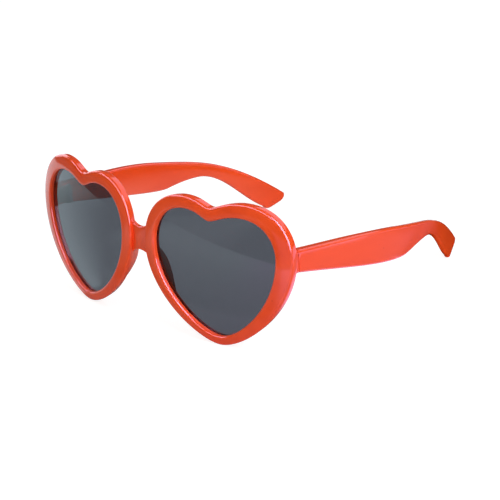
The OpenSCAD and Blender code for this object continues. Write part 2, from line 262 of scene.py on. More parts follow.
class Loft:
    """A skin that is extruded from ring to ring."""

    def __init__(self, name: str, ring: Ring) -> None:
        """Starts the skin.

        Args:
            name: the object's name.
            ring: the first ring's points in metres.
        """
        deselect()
        bpy.ops.mesh.primitive_circle_add(vertices=len(ring), radius=MM, fill_type="NOTHING")
        self.obj = added(name)
        self.first = self.indices = list(range(len(ring)))
        edit(self.obj)
        self._place(ring)

    def _place(self, ring: Ring) -> None:
        """Puts the current ring's points where they belong.

        Args:
            ring: the points in metres.
        """
        mesh = bmesh.from_edit_mesh(self.obj.data)
        mesh.verts.ensure_lookup_table()
        for index, point in zip(self.indices, ring):
            mesh.verts[index].co = point
        bmesh.update_edit_mesh(self.obj.data)

    def grow(self, ring: Ring) -> None:
        """Extrudes the current ring and places the new one.

        Args:
            ring: the new ring's points in metres, as many as the first ring's.
        """
        bpy.ops.mesh.extrude_edges_move()
        mesh = bmesh.from_edit_mesh(self.obj.data)
        mesh.verts.ensure_lookup_table()
        old, grown = set(self.indices), []
        for index in self.indices:
            vert = mesh.verts[index]
            ends = (edge.other_vert(vert) for edge in vert.link_edges)
            grown.append(next(end.index for end in ends if end.select and end.index not in old))
        self.indices = grown
        self._place(ring)

    def cap(self) -> None:
        """Closes the current ring with a fan round its middle."""
        bpy.ops.mesh.extrude_edges_move()
        bpy.ops.mesh.merge(type="CENTER")

    def cap_first(self) -> None:
        """Closes the first ring with a fan round its middle."""
        mesh = bmesh.from_edit_mesh(self.obj.data)
        bpy.ops.mesh.select_all(action="DESELECT")
        mesh.verts.ensure_lookup_table()
        for index in self.first:
            mesh.verts[index].select = True
        mesh.select_flush(True)
        bmesh.update_edit_mesh(self.obj.data)
        self.cap()


def loft(name: str, rings: list[Ring], capped: bool = True) -> Object:
    """A skin through rings of points.

    Args:
        name: the object's name.
        rings: each ring's points in metres.
        capped: whether both ends are closed.

    Returns:
        The object, with its doubles merged and its faces outwards.
    """
    skin = Loft(name, rings[0])
    for ring in rings[1:]:
        skin.grow(ring)
    if capped:
        skin.cap()
        skin.cap_first()
    leave()
    face_outwards(skin.obj)
    return skin.obj


# Finishes


def linear(colour: str) -> tuple[float, float, float, float]:
    """Turns an sRGB colour to linear.

    Args:
        colour: six hex digits after a number sign.

    Returns:
        Red, green, blue and alpha.
    """
    values = [int(colour[i:i + 2], 16) / 255 for i in (1, 3, 5)]
    red, green, blue = (v / 12.92 if v <= 0.04045 else ((v + 0.055) / 1.055) ** 2.4 for v in values)
    return red, green, blue, 1.0


def node(tree: NodeTree, kind: str, settings: dict | None = None, inputs: Inputs | None = None) -> Node:
    """Adds a node.

    Args:
        tree: the node tree it goes into.
        kind: the node's type name.
        settings: values of its own properties.
        inputs: for each input's name or number, a value, or an output socket to link to it.

    Returns:
        The node.
    """
    made = tree.nodes.new(kind)
    for key, value in (settings or {}).items():
        setattr(made, key, value)
    for key, value in (inputs or {}).items():
        if isinstance(value, NodeSocket):
            tree.links.new(value, made.inputs[key])
        else:
            made.inputs[key].default_value = value
    return made


def formula(tree: NodeTree, form: Formula,
            sockets: dict[str, NodeSocket] | None = None) -> NodeSocket | float:
    """Adds the nodes of a formula.

    Args:
        tree: the node tree they go into.
        form: a number or a socket, the name of one of the sockets, or a tuple. A tuple holds a math
            operation and its values, or LINEAR or SMOOTHSTEP for a ramp, the value that it follows,
            where it starts and stops, and its level before and after.
        sockets: the sockets that the formula names.

    Returns:
        The socket with the result, or the number.
    """
    if isinstance(form, str):
        return sockets[form]
    if not isinstance(form, tuple):
        return form
    kind, *parts = form
    values = [formula(tree, part, sockets) for part in parts]
    if kind in ("LINEAR", "SMOOTHSTEP"):
        names = ("Value", "From Min", "From Max", "To Min", "To Max")
        return node(tree, "ShaderNodeMapRange", {"interpolation_type": kind},
                    dict(zip(names, values))).outputs["Result"]
    return node(tree, "ShaderNodeMath", {"operation": kind}, dict(enumerate(values))).outputs[0]


def blank(name: str) -> tuple[Material, NodeTree]:
    """Makes a material without nodes.

    Args:
        name: the material's name.

    Returns:
        The material and its node tree.
    """
    material = bpy.data.materials.new(name)
    material.use_nodes = True
    material.node_tree.nodes.clear()
    return material, material.node_tree


@dataclass(frozen=True)
class Finish:
    """A material with a haze of a real size in its polish."""

    name: str
    haze_mm: float
    haze_detail: float
    haze_span: Point
    roughness: Point

    def looks(self, tree: NodeTree, place: NodeSocket, haze: NodeSocket) -> Inputs:
        """What the finish gives the shader beside its roughness.

        Args:
            tree: the material's node tree.
            place: the object coordinates.
            haze: the pattern of the haze.

        Returns:
            The shader's inputs by name.
        """
        raise NotImplementedError

    def build(self) -> Material:
        """Makes the material.

        Returns:
            The material.
        """
        material, tree = blank(self.name)
        place = node(tree, "ShaderNodeTexCoord").outputs["Object"]
        haze = node(tree, "ShaderNodeTexNoise",
                    inputs={"Vector": place, "Scale": 1 / (self.haze_mm * MM),
                            "Detail": self.haze_detail}).outputs["Fac"]
        gloss = formula(tree, ("LINEAR", haze, *self.haze_span, *self.roughness))
        shader = node(tree, "ShaderNodeBsdfPrincipled",
                      inputs={"Roughness": gloss, **self.looks(tree, place, haze)})
        node(tree, "ShaderNodeOutputMaterial", inputs={"Surface": shader.outputs["BSDF"]})
        return material


@dataclass(frozen=True)
class MouldedRed(Finish):
    """Injection moulded polycarbonate, coloured through and polished in the mould.

    It gives the eye a clear orange red with sharp pale reflections, faint flow clouds in the colour,
    a mirror that is slightly wavy, as moulded plastic is, and here and there a dark grain of burnt
    pellet.
    """

    name: str = "moulded red polycarbonate"
    haze_mm: float = 1.6
    haze_detail: float = 3
    haze_span: Point = (0.3, 0.7)
    roughness: Point = (0.05, 0.1)
    colour: str = "#F85324"
    cloud: str = "#F24D20"
    grain: str = "#B02C14"
    sheen: str = "#FFF7FF"
    ior: float = 1.58
    flow: tuple[float, float, float] = (1, 0.35, 1)
    cloud_mm: float = 14
    cloud_detail: float = 2
    cloud_roughness: float = 0.45
    cloud_span: Point = (0.38, 0.68)
    grain_mm: float = 7
    grain_span: Point = (0.02, 0.045)
    grain_strength: Point = (0.55, 0)
    wave_mm: float = 5
    wave_detail: float = 1
    wave_strength: float = 0.1
    wave_depth_mm: float = 0.15

    def looks(self, tree: NodeTree, place: NodeSocket, haze: NodeSocket) -> Inputs:
        """The colour with its clouds and grains, and the wavy mirror.

        Args:
            tree: the material's node tree.
            place: the object coordinates.
            haze: the pattern of the haze, which only the roughness follows here.

        Returns:
            The shader's inputs by name.
        """
        flow = node(tree, "ShaderNodeMapping", inputs={"Vector": place, "Scale": self.flow}).outputs["Vector"]
        cloud = node(tree, "ShaderNodeTexNoise",
                     inputs={"Vector": flow, "Scale": 1 / (self.cloud_mm * MM), "Detail": self.cloud_detail,
                             "Roughness": self.cloud_roughness}).outputs["Fac"]
        cells = node(tree, "ShaderNodeTexVoronoi",
                     inputs={"Vector": place, "Scale": 1 / (self.grain_mm * MM)}).outputs["Distance"]
        colour = linear(self.colour)
        for other, share in ((self.cloud, ("SMOOTHSTEP", cloud, *self.cloud_span, 0, 1)),
                             (self.grain, ("SMOOTHSTEP", cells, *self.grain_span, *self.grain_strength))):
            colour = node(tree, "ShaderNodeMix", {"data_type": "RGBA"},
                          {"Factor": formula(tree, share), "A": colour,
                           "B": linear(other)}).outputs["Result"]
        wave = node(tree, "ShaderNodeTexNoise",
                    inputs={"Vector": place, "Scale": 1 / (self.wave_mm * MM),
                            "Detail": self.wave_detail}).outputs["Fac"]
        bump = node(tree, "ShaderNodeBump",
                    inputs={"Strength": self.wave_strength, "Distance": self.wave_depth_mm * MM,
                            "Height": wave})
        return {"Base Color": colour, "IOR": self.ior, "Specular Tint": linear(self.sheen),
                "Normal": bump.outputs["Normal"]}


@dataclass(frozen=True)
class SmokeLens(Finish):
    """Polycarbonate sheet dyed smoke grey, thermoformed and polished on both faces.

    It gives the eye a cool grey window, dark enough to hide the eyes, with a clear single reflection
    and barely seen wiping haze.
    """

    name: str = "smoke grey polycarbonate sheet"
    haze_mm: float = 9
    haze_detail: float = 4
    haze_span: Point = (0.35, 0.75)
    roughness: Point = (0.015, 0.035)
    tint: str = "#4E525A"
    ior: float = 1.5

    def looks(self, tree: NodeTree, place: NodeSocket, haze: NodeSocket) -> Inputs:
        """The tint and that it lets light through."""
        return {"Base Color": linear(self.tint), "IOR": self.ior, "Transmission Weight": 1.0}


@dataclass(frozen=True)
class NickelSteel(Finish):
    """Stamped steel, tumbled and nickel plated, as on small hinges.

    It gives the eye a warm bright metal whose fine tumbling marks spread the reflections. The real
    marks are too fine to show, so they are drawn coarser.
    """

    name: str = "nickel plated steel"
    haze_mm: float = 0.35
    haze_detail: float = 3
    haze_span: Point = (0.3, 0.7)
    roughness: Point = (0.18, 0.34)
    colour: str = "#C4BFB6"
    mark_strength: float = 0.15
    mark_depth_mm: float = 0.02

    def looks(self, tree: NodeTree, place: NodeSocket, haze: NodeSocket) -> Inputs:
        """The metal's colour and its tumbling marks.

        Args:
            tree: the material's node tree.
            place: the object coordinates, which the haze follows already.
            haze: the pattern of the marks.

        Returns:
            The shader's inputs by name.
        """
        bump = node(tree, "ShaderNodeBump",
                    inputs={"Strength": self.mark_strength, "Distance": self.mark_depth_mm * MM,
                            "Height": haze})
        return {"Base Color": linear(self.colour), "Metallic": 1.0, "Normal": bump.outputs["Normal"]}


# The glasses' shared shape


@dataclass
class FaceSurface:
    """The doubly curved surface that the front's face follows."""

    wrap_r: float = 215
    dome_r: float = 200
    dome_z: float = 29
    corner_back: float = 0.9
    outer_x: float = 73.5
    top_z: float = 62
    middle_y: float = 73.8438

    def depth(self, x: float, z: float) -> float:
        """How far the face lies behind its frontmost line at a place across and up."""
        return (self.wrap_r - math.sqrt(self.wrap_r ** 2 - x * x)
                + self.dome_r - math.sqrt(self.dome_r ** 2 - (z - self.dome_z) ** 2)
                + self.corner_back * (x / self.outer_x) ** 2 * (z - self.dome_z) / (self.top_z - self.dome_z))

    def point(self, x: float, z: float, behind: float) -> Vector:
        """A point behind the face, in metres.

        Args:
            x: distance to the wearer's left.
            z: height.
            behind: depth behind the face.

        Returns:
            The point in the row frame.
        """
        return Vector((x, self.depth(x, z) + behind - self.middle_y, z)) * MM


@dataclass
class HeartShape:
    """The heart opening and the outline round it, as six curves each."""

    tip_x: float = 39.4
    tip_z: float = 4
    reach_in: float = 29.8
    reach_out: float = 27.2
    side_in_h: float = 35.8
    side_out_h: float = 36.4
    lobe_in_x: float = 13.9
    lobe_in_h: float = 52.5
    lobe_out_x: float = 11.5
    lobe_out_h: float = 52.2
    notch_x: float = 2.2
    notch_h: float = 49.2
    rim_tip: float = 4
    rim_in: float = 5.5
    rim_lobe_in: float = 5.2
    rim_notch: float = 5.5
    rim_lobe_out: float = 5.8
    rim_out: float = 6.9
    lobe_spread: float = 1
    tip_curve: float = 0.3
    side_down: float = 0.56
    side_up: float = 0.52
    lobe_outer: float = 0.65
    lobe_notch: float = 0.56
    notch_curve: float = 0.22
    steps: tuple[int, ...] = (56, 40, 26, 26, 40, 56)

    def corners(self) -> list[Vector]:
        """The opening's six corners.

        Returns:
            The tip, the nose side, its lobe, the notch, the temple side's lobe and the temple side.
        """
        x, z = self.tip_x, self.tip_z
        steps = ((0, 0), (-self.reach_in, self.side_in_h), (-self.lobe_in_x, self.lobe_in_h),
                 (-self.notch_x, self.notch_h), (self.lobe_out_x, self.lobe_out_h),
                 (self.reach_out, self.side_out_h))
        return [Vector((x + across, z + up)) for across, up in steps]

    def outline_corners(self) -> list[Vector]:
        """The outline's six corners.

        Returns:
            The same six of the outline.
        """
        out = ((0, -self.rim_tip), (-self.rim_in, 0), (-self.lobe_spread, self.rim_lobe_in),
               (0, self.rim_notch), (self.lobe_spread, self.rim_lobe_out), (self.rim_out, 0))
        return [c + Vector(o) for c, o in zip(self.corners(), out)]

    def loop(self, h: list[Vector]) -> list[Vector]:
        """The points of a heart, from its tip towards the nose and round.

        Args:
            h: the heart's six corners.

        Returns:
            The loop's points, across and up.
        """
        def level(a: int, b: int, share: float) -> Vector:
            """A handle level with corner a, at a share of the way across to b."""
            return Vector((lerp(h[a].x, h[b].x, share), h[a].y))

        def upright(a: int, b: int, share: float) -> Vector:
            """A handle above or below corner a, at a share of the way up or down to b."""
            return Vector((h[a].x, lerp(h[a].y, h[b].y, share)))

        curves = [(h[0], level(0, 1, self.tip_curve), upright(1, 0, self.side_down), h[1]),
                  (h[1], upright(1, 2, self.side_up), level(2, 1, self.lobe_outer), h[2]),
                  (h[2], level(2, 3, self.lobe_notch), level(3, 2, self.notch_curve), h[3]),
                  (h[3], level(3, 4, self.notch_curve), level(4, 3, self.lobe_notch), h[4]),
                  (h[4], level(4, 5, self.lobe_outer), upright(5, 4, self.side_up), h[5]),
                  (h[5], upright(5, 0, self.side_down), level(0, 5, self.tip_curve), h[0])]
        return [bezier(*curve, k / n) for curve, n in zip(curves, self.steps) for k in range(n)]

    def inner(self) -> list[Vector]:
        """The opening's loop."""
        return self.loop(self.corners())

    def outer(self) -> list[Vector]:
        """The outline's loop."""
        return self.loop(self.outline_corners())


@dataclass
class TemplePath:
    """A temple's path seen from above, its two edges and its thickness."""

    x: float = 69
    thick: float = 4.4
    belly_t: float = 3.2
    tip_t: float = 2.6
    edge_r: float = 1.2
    edge_share: float = 0.46
    splay: float = 4.8
    straight: float = 35
    curl_r: float = 150.5
    curl_l: float = 74
    tip_lean: float = 4.8
    seam_y: float = 20.7456
    seam_edge: float = 0.12
    middle_y: float = FaceSurface.middle_y
    leaf_end: float = 10
    belly_l: float = 66.1
    tip_l: float = 118.1
    leaf_t: float = 1.0
    leaf_open: float = 1.0
    hinge_z: float = 35.65
    hinge_h: float = 7.1
    cut_over: float = 1.0
    top: tuple[Point, ...] = ((0, 44.0), (60.8, 36), (85.0, 30.4), (130.0, 6.34))
    bottom: tuple[Point, ...] = ((0, 34.4), (66.1, 21.9), (83.4, 23.4), (118.1, 1.54))
    top_slopes: tuple[float, ...] = (-7, -12.7, -15, -38.5)
    bottom_slopes: tuple[float, ...] = (-11.6, 9.2, -1.7, -30.1)
    belly_reach: float = 0.13

    def heading(self, q: float) -> float:
        """The path's heading away from straight back, in radians."""
        return math.radians(self.splay) - max(0.0, min(q - self.straight, self.curl_l)) / self.curl_r

    def beside(self, q: float, z: float, out: float) -> Vector:
        """A point beside the path, in metres.

        Args:
            q: distance along the path from the seam.
            z: height.
            out: distance from the temple's middle face, away from the head.

        Returns:
            The point in the row frame.
        """
        run, past = min(q, self.straight), max(0.0, q - self.straight - self.curl_l)
        a, s = self.heading(q), math.radians(self.splay)
        x = self.x + run * math.sin(s) + past * math.sin(a) + self.curl_r * (math.cos(a) - math.cos(s))
        y = self.seam_y + run * math.cos(s) + past * math.cos(a) + self.curl_r * (math.sin(s) - math.sin(a))
        return Vector((x + out * math.cos(a), y - out * math.sin(a) - self.middle_y, z)) * MM

    def back_share(self, q: float) -> float:
        """How far behind the deepest point a place is, as a share of the way to the tip."""
        return max(0.0, min(1.0, (q - self.belly_l) / (self.tip_l - self.belly_l)))

    def thickness(self, q: float) -> float:
        """The temple's thickness, full over the hinge leaf and thinner behind it.

        Args:
            q: distance along the path from the seam.

        Returns:
            The thickness.
        """
        if q < self.belly_l:
            share = max(0.0, (q - self.leaf_end) / (self.belly_l - self.leaf_end))
            return lerp(self.thick, self.belly_t, share * share * (3 - 2 * share))
        return lerp(self.belly_t, self.tip_t, self.back_share(q))

    def edge(self, part: int, t: float, top: bool) -> Vector:
        """A point of the top or bottom edge.

        Args:
            part: which of the three lengths.
            t: share of that length.
            top: whether it is the top edge.

        Returns:
            Distance along the path and height.
        """
        points, slopes = (self.top, self.top_slopes) if top else (self.bottom, self.bottom_slopes)
        a, b = Vector(points[part]), Vector(points[part + 1])
        first = last = (b - a).length / 3
        if part == 0 and not top:
            last = (b - a).length * self.belly_reach
        sa, sb = (math.radians(s) for s in slopes[part:part + 2])
        return bezier(a, a + first * Vector((math.cos(sa), math.sin(sa))),
                      b - last * Vector((math.cos(sb), math.sin(sb))), b, t)

    def ring(self, bottom: Vector, top: Vector, thick: float, steps: int) -> Ring:
        """The section between a point of the bottom edge and one of the top edge.

        Args:
            bottom: distance along the path and height of the lower point.
            top: the same of the upper point.
            thick: the section's thickness.
            steps: steps in each rounded edge.

        Returns:
            The section's points.
        """
        h = (top - bottom).length
        up, middle = (top - bottom) / h, (top + bottom) / 2
        lean = math.tan(math.radians(self.tip_lean)) * self.back_share(middle.x) * up.y
        points = []
        for s in round_box(h, thick, edge_round(self.edge_r, self.edge_share, h, thick), steps):
            p = middle + up * s[0]
            points.append(self.beside(p.x, p.y, s[1] + lean * s[0]))
        return points

    def leaf_block(self, start: float, stop: float, t: float, past: float = 0.0) -> Object:
        """A block in the inner face over a hinge leaf, to be cut away.

        Args:
            start: distance from the seam where it starts.
            stop: distance from the seam where it ends.
            t: how deep it goes.
            past: how far it reaches past the leaf's upper and lower edges.

        Returns:
            The block, standing out past the inner face so that it cuts cleanly.
        """
        deselect()
        bpy.ops.mesh.primitive_cube_add(size=1, location=(0, 0, 0))
        block = added("leaf block")
        z, h, over = self.hinge_z - past, self.hinge_h + 2 * past, self.cut_over
        turn = Matrix.Rotation(-math.radians(self.splay), 4, "Z")
        size = Matrix.Diagonal(((t + over) * MM, (stop - start) * MM, h * MM, 1))
        middle = Matrix.Translation(Vector(((t - over) / 2, (start + stop) / 2, h / 2)) * MM)
        low = Matrix.Translation(self.beside(0, z, -self.thick / 2))
        block.data.transform(low @ turn @ middle @ size)
        return block


# Sub-assemblies


@dataclass
class Front:
    """The moulded front: two rims, bridge, nose pads and end pieces in one piece."""

    face: FaceSurface
    heart: HeartShape
    temple: TemplePath
    lip_r: float = 1.0
    edge_r: float = 1.0
    back_r: float = 0.6
    inside_r: float = 0.15
    wall_lean: float = 0.3
    thick: float = 4.2
    face_lean: float = 4.5
    crown: float = 5.5
    groove_front: float = 2.05
    groove_back: float = 3.4
    groove_depth: float = 1.0
    bridge_top: float = 43.8
    bridge_bottom: float = 33.7
    bridge_flare: float = 4.9
    bridge_curve: float = 0.957
    bridge_half: float = 6.6
    bridge_set: float = 1.6
    bridge_edge_r: float = 0.6
    bridge_bow: float = 1.2
    pad_top: float = 37.7
    pad_bottom: float = 13
    pad_depth: float = 4.4
    pad_r: float = 2.1
    pad_end_r: float = 1.5
    pad_lean: float = 1.1
    pad_peak: float = 0.75
    end_l: float = 7.2
    end_flare: float = 0.7
    end_thin: float = 1.7
    seam_gap: float = 0.2
    leaf_l: float = 3.6
    sharp_angle: float = 32
    corner_steps: int = 7
    flat_steps: int = 8
    back_steps: int = 4
    inside_steps: int = 3
    bridge_steps: int = 36
    pad_steps: int = 56
    pad_round_steps: int = 14
    end_steps: int = 8

    def section(self, w: float) -> list[Point]:
        """The rim's section: distance from the opening, depth behind the face.

        Args:
            w: the rim's width there.

        Returns:
            The section's points, from the opening's front lip over the face and round.
        """
        # The face leans back from the lip to the outline. It is crowned too: its slope grows by the
        # crown's angle on either side.
        lean, crown = math.radians(self.face_lean), math.radians(self.crown)
        reach = w - self.edge_r - self.lip_r + (self.edge_r - self.lip_r) * math.sin(lean)
        drop = reach * math.tan(lean)
        lip = arc(self.lip_r, self.lip_r, self.lip_r, 180, 270 + self.face_lean - self.crown,
                  self.corner_steps)
        edge_depth = self.lip_r * (1 - math.cos(lean)) + self.edge_r * math.cos(lean) + drop
        edge = arc(w - self.edge_r, edge_depth, self.edge_r, 270 + self.face_lean + self.crown, 360,
                   self.corner_steps)
        flat = []
        for k in range(1, self.flat_steps):
            share = k / self.flat_steps
            rise = reach * math.tan(crown) / math.pi * math.sin(math.pi * share)
            flat.append((lerp(lip[-1][0], edge[0][0], share), lerp(lip[-1][1], edge[0][1], share) - rise))
        back = arc(w - self.wall_lean - self.back_r, self.thick - self.back_r, self.back_r, 0, 90,
                   self.back_steps)
        middle = [(lerp(back[-1][0], self.inside_r, k / self.back_steps), self.thick)
                  for k in range(1, self.back_steps)]
        inside = arc(self.inside_r, self.thick - self.inside_r, self.inside_r, 90, 180, self.inside_steps)
        groove = [(0, self.groove_back), (self.groove_depth, self.groove_back),
                  (self.groove_depth, self.groove_front), (0, self.groove_front)]
        return lip + flat + edge + back + middle + inside + groove

    def rim(self) -> Object:
        """The left rim, from the opening's lip over the face, round the back and through the groove.

        Returns:
            The rim.
        """
        inner, outer = self.heart.inner(), self.heart.outer()
        widths = [(b - a).length for a, b in zip(inner, outer)]
        sections = [self.section(w) for w in widths]

        def ring(k: int) -> Ring:
            """The loop through one point of every section.

            Args:
                k: the point's number in its section.

            Returns:
                The loop's points.
            """
            points = []
            for a, b, w, s in zip(inner, outer, widths, sections):
                p = a + (b - a) / w * s[k][0]
                points.append(self.face.point(p.x, p.y, s[k][1]))
            return points

        rings = [ring(k) for k in range(len(sections[0]))]
        return loft("rim", rings + rings[:1], capped=False)

    def bridge(self) -> Object:
        """The bridge, a bar with hollow edges and a bowed face, whose ends go into the rims.

        Returns:
            The bridge.
        """
        def share(x: float) -> float:
            """How far the hollow edges have spread at x, as a share of the curve's radius."""
            return 1 - math.sqrt(1 - (x / self.bridge_half * self.bridge_curve) ** 2)

        def ring(x: float) -> Ring:
            """The bridge's section.

            Args:
                x: the distance from the middle.

            Returns:
                The section's points.
            """
            spread = self.bridge_flare * share(x) / share(self.bridge_half)
            top, bottom = self.bridge_top + spread, self.bridge_bottom - spread
            front = self.bridge_set + self.bridge_bow * (x / self.bridge_half) ** 2
            t = self.thick - self.back_r - front
            r = edge_round(self.bridge_edge_r, self.temple.edge_share, t, t)
            return [self.face.point(x, (top + bottom) / 2 + s[0], front + t / 2 + s[1])
                    for s in round_box(top - bottom, t, r, self.corner_steps)]

        return loft("bridge", [ring(lerp(-self.bridge_half, self.bridge_half, k / self.bridge_steps))
                               for k in range(self.bridge_steps + 1)])

    def side_x(self, z: float) -> float:
        """The middle of the rim's solid part on the nose side.

        Args:
            z: the height.

        Returns:
            Its x.
        """
        outer = self.heart.outer()[:sum(self.heart.steps[:2])]
        a, b = next((a, b) for a, b in zip(outer, outer[1:]) if a.y <= z < b.y)
        return lerp(a.x, b.x, (z - a.y) / (b.y - a.y)) + (self.heart.rim_in - self.groove_depth) / 2

    def nose_pad(self) -> Object:
        """The left nose pad: a fin that swells out of the rim's back and dies into it at both ends.

        Returns:
            The nose pad.
        """
        turn = math.atan2(-self.pad_lean, self.pad_depth)
        angles = [math.pi * k / self.pad_round_steps for k in range(self.pad_round_steps + 1)]

        def ring(share: float) -> Ring:
            """The pad's section.

            Args:
                share: the share of the way down.

            Returns:
                The section's points.
            """
            swell = math.sin(math.pi * share ** self.pad_peak)
            z = lerp(self.pad_top, self.pad_bottom, share)
            root = Vector((self.side_x(z), self.thick - self.back_r - self.pad_end_r))
            crest = root + Vector((self.pad_lean, self.pad_depth)) * swell
            points = []
            for middle, r, start in ((root, self.pad_end_r, math.pi + turn),
                                     (crest, lerp(self.pad_end_r, self.pad_r, swell), turn)):
                points += [middle + r * Vector((math.cos(start + a), math.sin(start + a))) for a in angles]
            return [self.face.point(p.x, z, p.y) for p in points]

        return loft("nose pad", [ring(k / self.pad_steps) for k in range(self.pad_steps + 1)])

    def end_piece(self) -> Object:
        """The left end piece, from inside the rim to the seam with the temple.

        Returns:
            The end piece.
        """
        path, front, back = self.temple, -self.end_l, -self.seam_gap

        def ring(q: float, shrink: float) -> Ring:
            """The end piece's section.

            Args:
                q: the distance along the temple's path.
                shrink: how much smaller it is all round.

            Returns:
                The section's points.
            """
            away = 1 - (q - front) / (back - front)
            top = path.top[0][1] + self.end_flare * away - shrink
            bottom = path.bottom[0][1] - self.end_flare * away + shrink
            h, thick = top - bottom, path.thick - self.end_thin * away - 2 * shrink
            r = edge_round(path.edge_r, path.edge_share, h, thick)
            return [path.beside(q, (top + bottom) / 2 + s[0], self.end_thin / 2 * away + s[1])
                    for s in round_box(h, thick, r, self.corner_steps)]

        rings = [ring(lerp(front, back - path.seam_edge, k / self.end_steps), 0)
                 for k in range(self.end_steps + 1)]
        rings += [ring(back - short, ahead) for ahead, short in rounding(path.seam_edge, 30, 60, 90)]
        return loft("end piece", rings)

    def leaf_seat(self) -> Object:
        """The left recess that the hinge leaf lies in, as a solid to cut away."""
        path = self.temple
        return path.leaf_block(-self.seam_gap - self.leaf_l, path.cut_over, path.leaf_t)

    def build(self, finish: Material) -> Object:
        """Makes the whole front as one skin and dresses it.

        Args:
            finish: the moulded plastic.

        Returns:
            The front.
        """
        front = self.rim()
        combine(front, mirrored(front), Change.JOIN)
        combine(front, self.bridge(), Change.JOIN)
        for make, change in ((self.nose_pad, Change.JOIN), (self.end_piece, Change.JOIN),
                             (self.leaf_seat, Change.CUT)):
            piece = make()
            other = mirrored(piece)
            combine(front, piece, change)
            combine(front, other, change)
        dress(front, "front", finish, self.sharp_angle)
        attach(front, "front")
        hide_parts("front_frame")
        return front


@dataclass
class Lens:
    """One smoke lens with its edge in the rim's groove."""

    face: FaceSurface
    heart: HeartShape
    side: Side
    set_back: float = 2.1
    thick: float = 1.25
    bite: float = 0.8
    edge_r: float = 0.2
    sharp_angle: float = 40
    rings: int = 18

    def build(self, finish: Material) -> Object:
        """Makes the lens, from the middle of its face round the edge to the middle of its back.

        Args:
            finish: the tinted sheet.

        Returns:
            The lens.
        """
        corners = self.heart.corners()
        middle = Vector((self.heart.tip_x, (corners[0].y + corners[3].y) / 2))
        edge = [a + (b - a).normalized() * self.bite
                for a, b in zip(self.heart.inner(), self.heart.outer())]

        def ring(share: float, behind: float, trim: float = 0.0) -> Ring:
            """A loop inside the lens's edge.

            Args:
                share: the share of the way to the middle.
                behind: the distance behind the face.
                trim: what is taken off all round.

            Returns:
                The loop's points.
            """
            points = [e.lerp(middle, share) for e in edge]
            points = [p + (middle - p).normalized() * trim for p in points]
            return [self.face.point(p.x, p.y, behind) for p in points]

        front, back = self.set_back, self.set_back + self.thick
        shares = [1 - k / self.rings for k in range(1, self.rings)]
        edges = rounding(self.edge_r, 0, 45, 90)
        rings = [ring(share, front) for share in shares]
        rings += [ring(0, front + ahead, short) for ahead, short in edges]
        rings += [ring(0, back - ahead, short) for ahead, short in reversed(edges)]
        rings += [ring(share, back) for share in reversed(shares)]
        lens = on_side(loft("lens", rings), self.side)
        dress(lens, f"lens_{self.side.word}_sheet", finish, self.sharp_angle)
        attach(lens, "front")
        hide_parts(f"lens_{self.side.word}")
        return lens


@dataclass
class Temple:
    """One moulded temple with its belly, waist and ear hook."""

    path: TemplePath
    side: Side
    tip_round: float = 2.9
    tip_blunt: float = 0.58
    sharp_angle: float = 32
    steps: tuple[int, int, int] = (56, 30, 50)
    tip_steps: int = 14
    corner_steps: int = 7

    def build(self, finish: Material) -> Object:
        """Makes the temple and dresses it.

        Args:
            finish: the moulded plastic.

        Returns:
            The temple.
        """
        path, n = self.path, self.corner_steps
        low, high = path.edge(0, 0, False), path.edge(0, 0, True)
        rings = [path.ring(low + Vector((ahead, short)), high + Vector((ahead, -short)),
                           path.thick - 2 * short, n)
                 for ahead, short in rounding(path.seam_edge, 0, 30, 60, 90)]
        for part, count in enumerate(self.steps):
            for k in range(1 if part == 0 else 0, count):
                low, high = path.edge(part, k / count, False), path.edge(part, k / count, True)
                rings.append(path.ring(low, high, path.thickness((low.x + high.x) / 2), n))
        low, high = Vector(path.bottom[3]), Vector(path.top[3])
        across = (high - low).normalized()
        ahead, half = Vector((across.y, -across.x)), (high - low).length / 2
        for k in range(self.tip_steps):
            a = math.pi / 2 * k / self.tip_steps
            shrink = math.cos(a) ** self.tip_blunt
            middle = (high + low) / 2 + ahead * self.tip_round * math.sin(a)
            rings.append(path.ring(middle - across * half * shrink, middle + across * half * shrink,
                                   path.tip_t * shrink, n))
        temple = loft("temple", rings)
        combine(temple, path.leaf_block(-path.cut_over, path.leaf_open, path.leaf_t), Change.CUT)
        temple = on_side(temple, self.side)
        dress(temple, f"temple_{self.side.word}_arm", finish, self.sharp_angle)
        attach(temple, f"{self.side.word}_temple")
        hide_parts(f"temple_{self.side.word}")
        return temple


